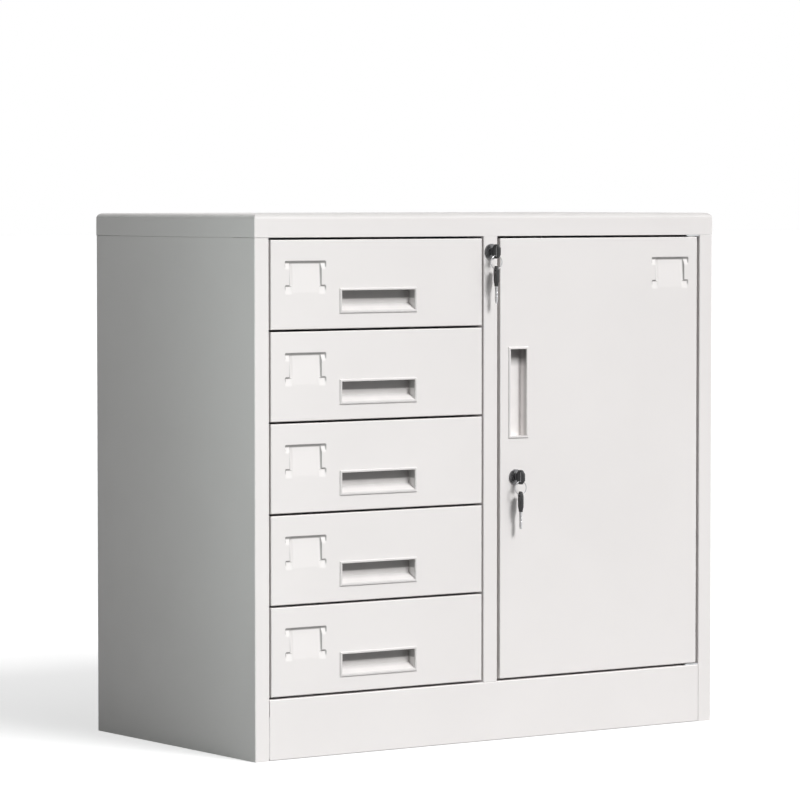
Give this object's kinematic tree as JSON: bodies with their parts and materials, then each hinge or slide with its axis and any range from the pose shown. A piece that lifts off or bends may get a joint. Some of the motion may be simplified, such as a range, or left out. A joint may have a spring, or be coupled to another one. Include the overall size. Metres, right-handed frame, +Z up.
{
  "type": "office drawer cabinet",
  "caption": "Low sheet-steel office cabinet with a bank of drawers at the left, a lockable hinged door at the right, recessed pulls, pressed label holders and keyed locks.",
  "frame": {"origin": "centre of the base of the whole object's bounding box, the keys that stand out of the locks included", "axes": "+X to the right along the width, +Y from the front to the back, +Z up"},
  "size_m": [0.75, 0.4106, 0.7],
  "materials": {
    "powder_coat": "satin powder coat",
    "tray_coat": "satin powder coat",
    "moulded_pull": "smooth moulded",
    "zinc_plate": "zinc plated",
    "lock_nickel": "satin nickel",
    "key_steel": "nickel plated",
    "ring_steel": "bright drawn wire",
    "black_moulding": "fine texture",
    "nylon": "natural"
  },
  "bodies": {
    "carcass": {"top_cap": "powder_coat", "left_side_panel": "powder_coat", "right_side_panel": "powder_coat", "back_panel": "powder_coat", "bottom_panel": "powder_coat", "plinth": "powder_coat", "partition_panel": "powder_coat", "centre_post": "powder_coat", "left_rail_upright": "powder_coat", "left_outer_rails": "zinc_plate", "right_outer_rails": "zinc_plate", "shelf": "powder_coat", "shelf_clips": "zinc_plate", "lock_bar_guides": "nylon", "hinge_brackets": "zinc_plate", "drawer_lock_housing": "lock_nickel", "drawer_lock_clip": "zinc_plate"},
    "lock_bar": {"lock_bar": "zinc_plate"},
    "drawer_lock_plug": {"drawer_lock_plug": "lock_nickel", "drawer_lock_crank": "zinc_plate"},
    "drawer_1": {"drawer_1_front": "powder_coat", "drawer_1_tray": "tray_coat", "drawer_1_pull": "moulded_pull", "drawer_1_inner_rails": "zinc_plate"},
    "drawer_2": {"drawer_2_front": "powder_coat", "drawer_2_tray": "tray_coat", "drawer_2_pull": "moulded_pull", "drawer_2_inner_rails": "zinc_plate"},
    "drawer_3": {"drawer_3_front": "powder_coat", "drawer_3_tray": "tray_coat", "drawer_3_pull": "moulded_pull", "drawer_3_inner_rails": "zinc_plate"},
    "drawer_4": {"drawer_4_front": "powder_coat", "drawer_4_tray": "tray_coat", "drawer_4_pull": "moulded_pull", "drawer_4_inner_rails": "zinc_plate"},
    "drawer_5": {"drawer_5_front": "powder_coat", "drawer_5_tray": "tray_coat", "drawer_5_pull": "moulded_pull", "drawer_5_inner_rails": "zinc_plate"},
    "door": {"door_panel": "powder_coat", "door_stiffener": "powder_coat", "door_pull": "moulded_pull", "door_hinge_bushes": "nylon", "door_lock_housing": "lock_nickel", "door_lock_clip": "zinc_plate"},
    "door_lock_plug": {"door_lock_plug": "lock_nickel", "door_lock_cam": "zinc_plate"},
    "drawer_key": {"drawer_key_bow": "black_moulding", "drawer_key_blade": "key_steel"},
    "drawer_key_ring": {"drawer_key_ring": "ring_steel"},
    "drawer_spare_key": {"drawer_spare_key_bow": "black_moulding", "drawer_spare_key_blade": "key_steel"},
    "door_key": {"door_key_bow": "black_moulding", "door_key_blade": "key_steel"},
    "door_key_ring": {"door_key_ring": "ring_steel"},
    "door_spare_key": {"door_spare_key_bow": "black_moulding", "door_spare_key_blade": "key_steel"}
  },
  "joints": [
    {"name": "drawer_1_slide", "type": "slide", "parent": "carcass", "child": "drawer_1", "axis": [0, -1, 0], "range_m": [0, 0.255]},
    {"name": "drawer_2_slide", "type": "slide", "parent": "carcass", "child": "drawer_2", "axis": [0, -1, 0], "range_m": [0, 0.255]},
    {"name": "drawer_3_slide", "type": "slide", "parent": "carcass", "child": "drawer_3", "axis": [0, -1, 0], "range_m": [0, 0.255]},
    {"name": "drawer_4_slide", "type": "slide", "parent": "carcass", "child": "drawer_4", "axis": [0, -1, 0], "range_m": [0, 0.255]},
    {"name": "drawer_5_slide", "type": "slide", "parent": "carcass", "child": "drawer_5", "axis": [0, -1, 0], "range_m": [0, 0.255]},
    {"name": "door_swing", "type": "hinge", "parent": "carcass", "child": "door", "pos_m": [0.3411, -0.17665, 0.374], "axis": [0, 0, 1], "range_deg": [0, 105]},
    {"name": "drawer_lock_turn", "type": "hinge", "parent": "carcass", "child": "drawer_lock_plug", "pos_m": [-0.00255, -0.18465, 0.65], "axis": [0, -1, 0], "range_deg": [0, 90]},
    {"name": "drawer_key_pull", "type": "slide", "parent": "drawer_lock_plug", "child": "drawer_key", "axis": [0, -1, 0], "range_m": [0, 0.022]},
    {"name": "drawer_key_ring_turn", "type": "hinge", "parent": "drawer_key", "child": "drawer_key_ring", "pos_m": [-0.00255, -0.19735, 0.6418], "axis": [0, -1, 0], "range_deg": [-90, 0]},
    {"name": "drawer_spare_key_swing", "type": "hinge", "parent": "drawer_key_ring", "child": "drawer_spare_key", "pos_m": [-0.00255, -0.19735, 0.62655], "axis": [-0.9397, 0.342, 0], "range_deg": [-4, 60]},
    {"name": "door_lock_turn", "type": "hinge", "parent": "door", "child": "door_lock_plug", "pos_m": [0.038, -0.18465, 0.35], "axis": [0, 1, 0], "range_deg": [0, 90]},
    {"name": "door_key_pull", "type": "slide", "parent": "door_lock_plug", "child": "door_key", "axis": [0, -1, 0], "range_m": [0, 0.022]},
    {"name": "door_key_ring_turn", "type": "hinge", "parent": "door_key", "child": "door_key_ring", "pos_m": [0.038, -0.19735, 0.3418], "axis": [0, 1, 0], "range_deg": [-90, 0]},
    {"name": "door_spare_key_swing", "type": "hinge", "parent": "door_key_ring", "child": "door_spare_key", "pos_m": [0.038, -0.19735, 0.32655], "axis": [-0.9397, 0.342, 0], "range_deg": [-4, 60]},
    {"name": "lock_bar_lift", "type": "slide", "parent": "carcass", "child": "lock_bar", "axis": [0, 0, 1], "range_m": [0, 0.00848]}
  ],
  "couplings": [
    {"joint": "drawer_lock_turn", "follows": "lock_bar_lift", "rad_per_m": 185.12},
    {"joint": "drawer_key_ring_turn", "follows": "lock_bar_lift", "rad_per_m": -185.12},
    {"joint": "door_key_ring_turn", "follows": "door_lock_turn", "ratio": -1}
  ]
}
